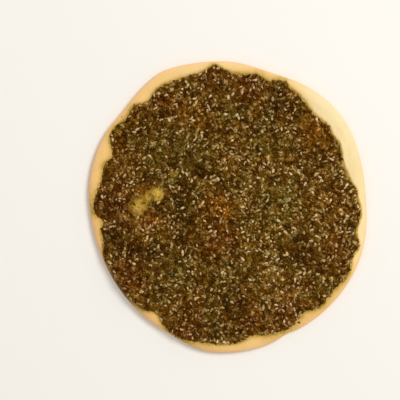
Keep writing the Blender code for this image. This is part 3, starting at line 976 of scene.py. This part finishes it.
PASTE_LOWEST = 5 * MM
PASTE_EDGE_DROP = 1.1 * MM
PASTE_UNDERCUT = 0.35 * MM
PASTE_UNDER_SHARES = (0.985, 0.95, 0.88)
PASTE_UNDER_SLOPE = 12 * MM
THINNEST_PASTE = 0.25 * MM
EDGE_CRAGS = 0.4  # how far from smooth to craggy the paste's edge already is
LEAST_SHOWN_RIM = 0.5 * MM
FRINGE_WIDTH = 2 * MM
FRINGE_START = 1.4  # in widths of the fringe, inward from the crumbs' edge
PASTE_TONE_LENGTH = 2.4 * MM
PASTE_OIL_LENGTH = 2.2 * MM
PASTE_CRUMB_LENGTH = 1.6 * MM
PASTE_DUST_LENGTH = 0.6 * MM
PASTE_CRUMB_DEPTH = 0.5 * MM

# Dark, golden and greener clumps: (length, noise where they start, noise where they are full,
# share, cast).
CLUMPS = (
    (11 * MM, 0.48, 0.62, 1.0, (0.54, 0.47, 0.40)),
    (4.8 * MM, 0.50, 0.64, 1.0, (1.92, 1.95, 2.35)),
    (17 * MM, 0.45, 0.60, 0.8, (0.86, 1.08, 1.12)),
)

# How each kind of place draws red, green and blue up or down. The deep creases' cast is painted shade.
PLACE_CASTS = {
    "leafy": (0.83, 1.09, 1.36),
    "toasted": (1.65, 1.20, 0.60),
    "golden": (1.55, 1.57, 1.85),
    "sumac": (1.04, 0.72, 1.02),
    "deep": (0.32, 0.28, 0.28),
}
OILY_SHEEN = (1.0, 0.62, 0.22)


def ragged_spread_radius(angles):
    """The spread's edge with its fine crumbs and nicks."""
    x, y = on_rays(angles, spread_radius(angles))
    ragged = shown_radius(angles) - EDGE_SETBACK + relief(x, y, EDGE_RELIEF, EDGE_LAYER)
    return np.minimum(ragged, bread_radius(angles) - LEAST_SHOWN_RIM)


def paste_skin(x, y):
    """The paste's upper surface, which dives under the dough's skin at both of its edges."""
    angles, distances = polar(x, y)
    from_edge = ragged_spread_radius(angles) - distances
    from_patch = relief(x, y, PATCH_EDGE_RELIEF, PATCH_EDGE_LAYER) - into_lobes(x, y)
    shown = smooth_step(np.minimum(from_edge, from_patch) / PASTE_EDGE_DROP)
    crags = relief(x, y, PASTE_RELIEF, PASTE_LAYER) * smooth_step(from_edge / SPREAD_TAPER + EDGE_CRAGS)
    thickness = np.maximum(spread_thickness(x, y) + crags, THINNEST_PASTE)
    level = SPREAD_GAP + thickness - DEEP_PLACE_DROP * share_of(x, y, DEEP_SHADE_PLACES)
    height = dough_top(x, y) + level * shown - PASTE_UNDERCUT * (1 - shown)
    return np.minimum(height, CAD_BOX[1][2] - PASTE_HEADROOM)


def make_paste(settings):
    """The paste as one closed skin: an even net on top, then rings that run in under its edge."""
    rings = round(BREAD_LENGTH / 2 / settings.net_size)
    angles, shares, faces = honeycomb_disc(rings)
    x, y = on_rays(angles, shares * ragged_spread_radius(angles))
    points = [np.stack((x, y, paste_skin(x, y)), axis=-1)]
    count = 6 * rings
    above = len(angles) - count
    rim_angles = angles[above:]
    edge = ragged_spread_radius(rim_angles)
    faces = [tuple(face) for face in faces]
    for share in PASTE_UNDER_SHARES:
        below = sum(len(ring) for ring in points)
        x, y = on_rays(rim_angles, edge * share)
        depth = dough_top(x, y) - PASTE_UNDERCUT - (1 - share) * PASTE_UNDER_SLOPE
        points.append(np.stack((x, y, np.maximum(depth, PASTE_LOWEST)), axis=-1))
        faces += ring_strip(above, below, count)
        above = below
    points[-1][:, 2] = PASTE_LOWEST
    faces.append(tuple(range(above + count - 1, above - 1, -1)))
    points = np.concatenate(points)
    x, y = points[:, 0], points[:, 1]
    fringe = smooth_step(FRINGE_START + past_crumbs(x, y) / FRINGE_WIDTH)
    marks = dict(kinds_of_place(x, y), fringe=fringe)
    paste = add_piece("herb_paste", points, faces, paste_finish(settings), marks)
    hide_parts("zaatar_spread")


def kinds_of_place(x, y):
    """What the spread holds more of at each point, and where its creases take painted shade."""
    return {kind: share_of(x, y, places) for kind, places in PLACES.items()}


def cast_by_place(finish, colour, share=1.0):
    """The colour drawn towards what the spread holds more of there, darkened as painted shade in its
    creases, in uneven clumps.
    """
    for kind, cast in PLACE_CASTS.items():
        colour = finish.tint(finish.mark(kind) * share, colour, cast)
    for length, low, high, strength, cast in CLUMPS:
        clumps = finish.grain(length, 2, low, high)
        colour = finish.tint(clumps * (strength * share), colour, cast)
    return colour


def paste_finish(settings):
    """Oily, dark, crumbly paste, greener, browner or redder from place to place, with painted shade in its
    creases.
    """
    finish = Finish("herb_paste", 0.1, OILY_SHEEN)
    fine = finish.grain(PASTE_TONE_LENGTH, 3)
    colour = finish.blend(fine, settings.dark_colour, settings.paste_colour)
    colour = cast_by_place(finish, colour)
    fringe = finish.mark("fringe") * (0.35 + 0.65 * finish.grain(PASTE_OIL_LENGTH, 3))
    colour = finish.blend(fringe, colour, settings.fringe_colour)
    crumbs = finish.grain(PASTE_CRUMB_LENGTH, 3) * 0.7 + finish.grain(PASTE_DUST_LENGTH, 3) * 0.3
    finish.shade(
        Base_Color=colour,
        Roughness=0.42 + 0.3 * finish.grain(PASTE_OIL_LENGTH, 2),
        Normal=finish.bumps(crumbs, PASTE_CRUMB_DEPTH),
    )
    return finish.material


# Leaves and crumbs

HERB_SEED = 21
BIT_CORNERS = 4

# From tip to tip: (x, half width, top, bottom, lift), for a bit that is 1 long, 1 wide and 1 thick.
LEAF_STATIONS = (
    (-0.5, 0, 0, 0, 0.0),
    (-0.18, 0.5, 0.7, 0.1, 0.25),
    (0.2, 0.42, 0.7, 0.1, 0.2),
    (0.5, 0, 0, 0, -0.3),
)
CRUMB_STATIONS = (
    (-0.5, 0, 0, 0, 0.1),
    (-0.2, 0.46, 0.5, 0.4, 0.0),
    (0.24, 0.5, 0.36, 0.5, 0.06),
    (0.5, 0, 0, 0, -0.1),
)

# Least and most of each random draw: lengths as shares of the middling one, widths as shares of the
# length, and lifts in millimetres. A tilt or a bend is drawn as far to one side as to the other.
LEAF_LENGTHS = (0.55, 1.5)
LEAF_WIDTHS = (0.36, 0.62)
LEAF_THICKNESS = 0.4 * MM
LEAF_LIFTS = (0.02, 0.5)
LEAF_TILT, LEAF_BEND = 0.38, 0.9
RIM_LEAF_SIZE = 0.6  # share of its size that a leaf has at the spread's edge
RIM_LEAF_START = 0.5 * MM
RIM_LEAF_REACH = 4 * MM
CRUMB_LENGTHS = (0.6, 1.5)
CRUMB_WIDTHS = (0.6, 1.0)
CRUMB_LIFTS = (0.05, 0.5)
CRUMB_TILT, CRUMB_BEND = 0.6, 0.2

# A bit's tone is partly its own and partly its clump's, and it takes a share of its place's casts.
TONE_SKEW = (1.0, 2.5)
TONE_SPREAD = 0.85
TONE_CLUSTER = 4.2 * MM
TONE_CLUSTERING = 1.0
HERB_CAST_SHARE = 0.8

# Veins of a leaf and pits of a crumb: length, depth, and how they draw its colour down.
VEIN_LENGTH, VEIN_DEPTH, VEIN_CAST = 0.8 * MM, 0.12 * MM, (0.6, 0.6, 0.55)
PIT_LENGTH, PIT_DEPTH, PIT_CAST = 0.4 * MM, 0.15 * MM, (0.6, 0.58, 0.5)

# Where the herbs lie: how far in from the spread's edge they start and fill up, and their strays.
HERB_MARGIN = 0.7 * MM
HERB_FADE = 1.8 * MM
STRAY_CHANCE = 0.006
STRAY_START = 3 * MM
STRAY_REACH = 4 * MM
STRAY_LEAST_RIM = 1.5 * MM
PATCH_HERB_CHANCE = 0.035
SMEAR_BARENESS = 0.9


def herb_chance(x, y):
    """Chance of a leaf or crumb: even over the spread, less on the oily smears and the bare patch."""
    outward = past_outer_edge(x, y)
    inside = smooth_step((-HERB_MARGIN - past_crumbs(x, y)) / HERB_FADE)
    strays = STRAY_CHANCE * smooth_step(1 - outward / STRAY_REACH) * (outward > -STRAY_START)
    on_patch = PATCH_HERB_CHANCE * (into_lobes(x, y) > 0)
    chance = inside * (1 - SMEAR_BARENESS * share_of(x, y, OILY_SMEARS))
    angles, distances = polar(x, y)
    on_bread = distances < bread_radius(angles) - STRAY_LEAST_RIM
    return np.maximum(chance, np.maximum(strays, on_patch)) * on_bread


def resting_height(x, y):
    """The upper of the paste and the dough."""
    return np.maximum(paste_skin(x, y), dough_skin(x, y))


def scatter(name, shape, finish, places, sizes, lifts, tilt, bend, draw, extra_marks=None):
    """One piece of many like bits, laid on the spread, tilted and bent a little at random."""
    x, y = places
    count = len(x)
    normals = surface_normals(x, y, resting_height)
    normals[:, :2] += draw.uniform(-tilt, tilt, (count, 2))
    normals /= np.linalg.norm(normals, axis=-1, keepdims=True)
    spots = np.stack((x, y, resting_height(x, y)), axis=-1) + normals * lifts[:, None]
    headings = draw.uniform(0, 2 * math.pi, count)
    bends = draw.uniform(-bend, bend, count)
    points, faces = lay_down(shape, spots, normals, headings, sizes, bends)
    corners = len(shape[0])
    own_tones = TONE_SPREAD * draw.beta(*TONE_SKEW, count)
    tones = own_tones + TONE_CLUSTERING * ripples(x, y, TONE_CLUSTER, TONE_LAYER)
    marks = dict(kinds_of_place(x, y), tone=np.clip(tones, 0, 1), **(extra_marks or {}))
    marks = {mark: np.repeat(values, corners) for mark, values in marks.items()}
    return add_piece(name, points, faces.tolist(), finish, marks)


def make_herbs(settings):
    draw = np.random.default_rng(HERB_SEED)
    make_leaves(settings, draw)
    make_crumbs(settings, draw)


def make_leaves(settings, draw):
    """Bent scraps of leaf, smaller near the spread's edge."""
    count = settings.leaf_count
    length = settings.leaf_length * draw.uniform(*LEAF_LENGTHS, count)
    width = length * draw.uniform(*LEAF_WIDTHS, count)
    sizes = np.stack((length, width, np.full(count, LEAF_THICKNESS)), axis=-1)
    lifts = draw.uniform(*LEAF_LIFTS, count) * MM
    places = spread_out(count, draw, herb_chance)
    inward = smooth_step((RIM_LEAF_START - past_outer_edge(*places)) / RIM_LEAF_REACH)
    sizes *= (RIM_LEAF_SIZE + (1 - RIM_LEAF_SIZE) * inward)[:, None]
    shape = spindle(LEAF_STATIONS, BIT_CORNERS)
    finish = leaf_finish(settings)
    scatter("thyme_leaves", shape, finish, places, sizes, lifts, LEAF_TILT, LEAF_BEND, draw)


def make_crumbs(settings, draw):
    """Uneven crumbs, as wide and as thick as they happen to be ground."""
    count = settings.crumb_count
    length = settings.crumb_size * draw.uniform(*CRUMB_LENGTHS, count)
    sizes = length[:, None] * draw.uniform(*CRUMB_WIDTHS, (count, 3))
    lifts = draw.uniform(*CRUMB_LIFTS, count) * MM
    places = spread_out(count, draw, herb_chance)
    shape = spindle(CRUMB_STATIONS, BIT_CORNERS)
    finish = crumb_finish(settings)
    scatter("herb_crumbs", shape, finish, places, sizes, lifts, CRUMB_TILT, CRUMB_BEND, draw)


def toned(finish, mark, share, *stops):
    """Each bit's own tone from a ramp, with a share of the casts of the place that it lies in, painted
    shade in the creases among them.
    """
    colour = finish.node("ShaderNodeValToRGB", {"stops": stops}, {0: finish.mark(mark)})
    return cast_by_place(finish, colour, share)


def leaf_finish(settings):
    """Dried leaf, each scrap its own shade between oven brown and pale olive."""
    finish = Finish("dried_leaf", 0.08, OILY_SHEEN)
    dark, middle, pale = settings.dark_leaf_colour, settings.leaf_colour, settings.pale_leaf_colour
    colour = toned(finish, "tone", HERB_CAST_SHARE, (0.0, dark), (0.5, middle), (1.0, pale))
    veins = finish.grain(VEIN_LENGTH, 3)
    finish.shade(
        Base_Color=finish.tint(veins * 0.3, colour, VEIN_CAST),
        Roughness=0.45 + 0.25 * veins,
        Normal=finish.bumps(veins, VEIN_DEPTH),
    )
    return finish.material


def crumb_finish(settings):
    """Ground herb and sumac, from dark red brown to tan."""
    finish = Finish("ground_herb", 0.06, OILY_SHEEN)
    dark, middle, pale = settings.dark_crumb_colour, settings.crumb_colour, settings.pale_crumb_colour
    colour = toned(finish, "tone", HERB_CAST_SHARE, (0.0, dark), (0.45, middle), (0.9, pale))
    pits = finish.grain(PIT_LENGTH, 3)
    finish.shade(
        Base_Color=finish.tint(pits * 0.5, colour, PIT_CAST),
        Roughness=0.5 + 0.3 * pits,
        Normal=finish.bumps(pits, PIT_DEPTH),
    )
    return finish.material


# Sesame

SESAME_SEED = 8
SEED_CORNERS = 6
SEED_TRIES = 4  # places drawn for each seed, of which those too near another are dropped
SEED_SLICES = (-0.43, -0.26, 0.0, 0.25, 0.43)
SEED_POINTEDNESS = 0.42
SEED_FULLNESS = 1.22  # makes up for what the drawn-in end takes off the width
SEED_FLATNESS = 0.8  # a seed's lower half, as a share of its upper half

# Least and most of each random draw, as shares of a middling seed.
SEED_SIZES = (0.72, 1.16)
SEED_LENGTHS = (0.90, 1.10)
SEED_WIDTHS = (0.85, 1.20)
SEED_TILT = 0.35

# How clean the seeds are, in loose clusters. The cleaner one is, the higher it lies, by shares of
# half a middling seed's thickness.
CLEAN_SKEW = (0.9, 1.45)
CLEAN_CLUSTER = 9.6 * MM
CLEAN_CLUSTERING = 0.6
SUNKEN_LIFT = -0.30
CLEAN_LIFT = 0.80
SEED_LIFT = 0.10 * MM

# Dirt and skin of a seed, and the share of its place's casts that it takes.
DIRT_LENGTH, DIRT_CAST = 1.1 * MM, (0.45, 0.38, 0.22)
SEED_SKIN_LENGTH, SEED_SKIN_DEPTH = 0.5 * MM, 0.06 * MM
SEED_CAST_SHARE = 0.35

# Where the seeds lie: in loose clusters, each (share, length, layer), on an even part.
SEED_MARGIN = 0.9 * MM
SEED_FADE = 1.4 * MM
SEED_EVENNESS = 0.50
SEED_CLUSTERS = ((0.75, 13 * MM, 4), (0.5, 6 * MM, 6))
SEED_THINNING = {"leafy": 0.35, "sumac": 0.25, "deep": 0.35, "golden": -0.3}
LEAST_SEED_CHANCE = 0.10
SMEAR_SEED_BARENESS = 0.92
PATCH_SEED_CHANCE = 0.05


def sesame_stations():
    """A flat drop: round at one end and drawn in to a point at the other."""
    stations = [(-0.5, 0, 0, 0, 0)]
    for x in SEED_SLICES:
        round_end = math.sqrt(1 - (2 * x) ** 2)
        half = 0.5 * round_end * (1 - SEED_POINTEDNESS * (x + 0.5)) * SEED_FULLNESS
        stations.append((x, half, half, SEED_FLATNESS * half, 0))
    return stations + [(0.5, 0, 0, 0, 0)]


def seed_chance(x, y):
    """Chance of a seed: in loose clusters, fewer in leafy and sumac places, few on the bare patch."""
    inside = smooth_step((-SEED_MARGIN - past_crumbs(x, y)) / SEED_FADE)
    clusters = SEED_EVENNESS + sum(share * ripples(x, y, *cluster) for share, *cluster in SEED_CLUSTERS)
    thinned = sum(share * share_of(x, y, PLACES[kind]) for kind, share in SEED_THINNING.items())
    off_smears = 1 - SMEAR_SEED_BARENESS * share_of(x, y, OILY_SMEARS)
    chance = inside * np.clip(clusters - thinned, LEAST_SEED_CHANCE, 1) * off_smears
    return np.maximum(chance, PATCH_SEED_CHANCE * (into_lobes(x, y) > 0))


def make_sesame(settings):
    draw = np.random.default_rng(SESAME_SEED)
    x, y = spread_out(SEED_TRIES * settings.seed_count, draw, seed_chance)
    x, y = keep_apart(x, y, settings.least_apart, settings.seed_count)
    count = len(x)
    size = draw.uniform(*SEED_SIZES, count)
    lengths = settings.seed_length * size * draw.uniform(*SEED_LENGTHS, count)
    widths = settings.seed_width * size * draw.uniform(*SEED_WIDTHS, count)
    sizes = np.stack((lengths, widths, settings.seed_thickness * size), axis=-1)
    clusters = CLEAN_CLUSTERING * ripples(x, y, CLEAN_CLUSTER, SEED_TONE_LAYER)
    clean = np.clip(draw.beta(*CLEAN_SKEW, count) + clusters, 0, 1)
    lifts = (SUNKEN_LIFT + CLEAN_LIFT * clean) * 0.5 * settings.seed_thickness + SEED_LIFT
    shape = spindle(sesame_stations(), SEED_CORNERS)
    finish = sesame_finish(settings)
    scatter("sesame_seeds", shape, finish, (x, y), sizes, lifts, SEED_TILT, 0.0, draw, {"clean": clean})


def sesame_finish(settings):
    """Seeds from clean cream to brown under oil and paste."""
    finish = Finish("sesame", 0.15, OILY_SHEEN)
    sunken, toasted, pale = settings.sunken_colour, settings.toasted_colour, settings.pale_colour
    colour = toned(finish, "clean", SEED_CAST_SHARE, (0.0, sunken), (0.45, toasted), (0.9, pale))
    dirt = finish.grain(DIRT_LENGTH, 3, low=0.45, high=0.75)
    finish.shade(
        Base_Color=finish.tint(dirt * 0.55, colour, DIRT_CAST),
        Roughness=0.45 + 0.2 * dirt,
        Normal=finish.bumps(finish.grain(SEED_SKIN_LENGTH, 2), SEED_SKIN_DEPTH),
    )
    return finish.material


# Stage

SENSOR_WIDTH = 36 * MM
FLOOR_SIZE = 8.0
FLOOR_CORNERS = ((-1, -1), (1, -1), (1, 1), (-1, 1))
FLOOR_DROP = 0.05 * MM  # keeps the floor clear of the bread's flat base
KEY_PLACE = (1.35, 1.05, 2.46)
KEY_SIZE = 1.3
KEY_COLOUR = (1.0, 0.97, 0.92)
SKY_COLOUR = (1.0, 0.99, 0.97, 1.0)
FLOOR_MOTTLE = (0.97, 0.97, 0.97)
FLOOR_MOTTLE_LENGTH = 0.3


def floor_finish(settings):
    finish = Finish("plain_floor", 0.5)
    soft = finish.grain(FLOOR_MOTTLE_LENGTH, 3)
    colour = finish.tint(soft * 0.15, settings.floor_colour, FLOOR_MOTTLE)
    finish.shade(Base_Color=colour, Roughness=0.85)
    return finish.material


def make_floor(settings):
    half = FLOOR_SIZE / 2
    mesh = bpy.data.meshes.new("floor")
    corners = [(side_x * half, side_y * half, -FLOOR_DROP) for side_x, side_y in FLOOR_CORNERS]
    mesh.from_pydata(corners, [], [(0, 1, 2, 3)])
    mesh.materials.append(floor_finish(settings))
    floor = bpy.data.objects.new("floor", mesh)
    bpy.context.scene.collection.objects.link(floor)


def add_lamp(name, place, size, power, colour):
    lamp = bpy.data.lights.new(name, "AREA")
    lamp.shape, lamp.size, lamp.energy, lamp.color = "DISK", size, power, colour
    holder = bpy.data.objects.new(name, lamp)
    holder.location = place
    holder.rotation_mode = "QUATERNION"
    holder.rotation_quaternion = Vector(place).to_track_quat("Z", "Y")
    bpy.context.scene.collection.objects.link(holder)


def make_camera(settings):
    """A camera straight above, that shows the bread where the photograph does."""
    camera = bpy.data.cameras.new("camera")
    camera.lens, camera.sensor_width = settings.lens, SENSOR_WIDTH / MM
    frame_width = PHOTO_WIDTH_PX * PHOTO_PIXEL
    distance = frame_width * settings.lens * MM / SENSOR_WIDTH
    holder = bpy.data.objects.new("camera", camera)
    right = (PHOTO_WIDTH_PX / 2 - PHOTO_MIDDLE_PX[0]) * PHOTO_PIXEL
    up = (PHOTO_MIDDLE_PX[1] - PHOTO_WIDTH_PX / 2) * PHOTO_PIXEL
    holder.location = (right, up, WIDEST_HEIGHT + distance)
    bpy.context.scene.collection.objects.link(holder)
    bpy.context.scene.camera = holder


def make_sky(settings):
    world = bpy.data.worlds.new("sky")
    world.use_nodes = True
    background = world.node_tree.nodes["Background"]
    background.inputs["Color"].default_value = SKY_COLOUR
    background.inputs["Strength"].default_value = settings.sky_strength
    bpy.context.scene.world = world


def make_stage(settings):
    make_floor(settings)
    add_lamp("key", KEY_PLACE, KEY_SIZE, settings.key_power, KEY_COLOUR)
    make_sky(settings)
    make_camera(settings)
    bpy.context.scene.view_settings.view_transform = "Standard"


# Operators


class MANAKISH_OT_dough(Operator):
    """Bake the dough: the bread's skin, rim, bare blister and base"""

    bl_idname = "manakish.dough"
    bl_label = "Bake the dough"

    def execute(self, context):
        make_dough(context.scene.manakish.dough)
        return {"FINISHED"}


class MANAKISH_OT_paste(Operator):
    """Spread the herb paste over the dough"""

    bl_idname = "manakish.paste"
    bl_label = "Spread the paste"

    def execute(self, context):
        make_paste(context.scene.manakish.spread)
        return {"FINISHED"}


class MANAKISH_OT_herbs(Operator):
    """Scatter leaves, ground herb and sumac over the paste"""

    bl_idname = "manakish.herbs"
    bl_label = "Scatter the herbs"

    def execute(self, context):
        make_herbs(context.scene.manakish.herbs)
        return {"FINISHED"}


class MANAKISH_OT_sesame(Operator):
    """Scatter sesame seeds over the paste"""

    bl_idname = "manakish.sesame"
    bl_label = "Scatter the sesame"

    def execute(self, context):
        make_sesame(context.scene.manakish.sesame)
        return {"FINISHED"}


class MANAKISH_OT_stage(Operator):
    """Set the floor, the light and the camera"""

    bl_idname = "manakish.stage"
    bl_label = "Set the stage"

    def execute(self, context):
        make_stage(context.scene.manakish.stage)
        return {"FINISHED"}


class MANAKISH_PT_sidebar(Panel):
    """The bread's makers and their settings"""

    bl_label = "Manakish"
    bl_idname = "MANAKISH_PT_sidebar"
    bl_space_type = "VIEW_3D"
    bl_region_type = "UI"
    bl_category = "Manakish"

    def draw(self, context):
        settings = context.scene.manakish
        for operator, group in STEPS:
            box = self.layout.box()
            box.operator(operator.bl_idname)
            for name in getattr(settings, group).__annotations__:
                box.prop(getattr(settings, group), name)


STEPS = (
    (MANAKISH_OT_stage, "stage"),
    (MANAKISH_OT_dough, "dough"),
    (MANAKISH_OT_paste, "spread"),
    (MANAKISH_OT_herbs, "herbs"),
    (MANAKISH_OT_sesame, "sesame"),
)
CLASSES = (
    DoughSettings, SpreadSettings, HerbSettings, SesameSettings, StageSettings, ManakishSettings,
    *(operator for operator, _ in STEPS), MANAKISH_PT_sidebar,
)


def register():
    for kind in CLASSES:
        bpy.utils.register_class(kind)
    bpy.types.Scene.manakish = PointerProperty(type=ManakishSettings)


def unregister():
    del bpy.types.Scene.manakish
    for kind in reversed(CLASSES):
        bpy.utils.unregister_class(kind)


def main():
    register()
    bpy.ops.manakish.stage()
    bpy.ops.manakish.dough()
    bpy.ops.manakish.paste()
    bpy.ops.manakish.herbs()
    bpy.ops.manakish.sesame()


if __name__ == "__main__":
    main()
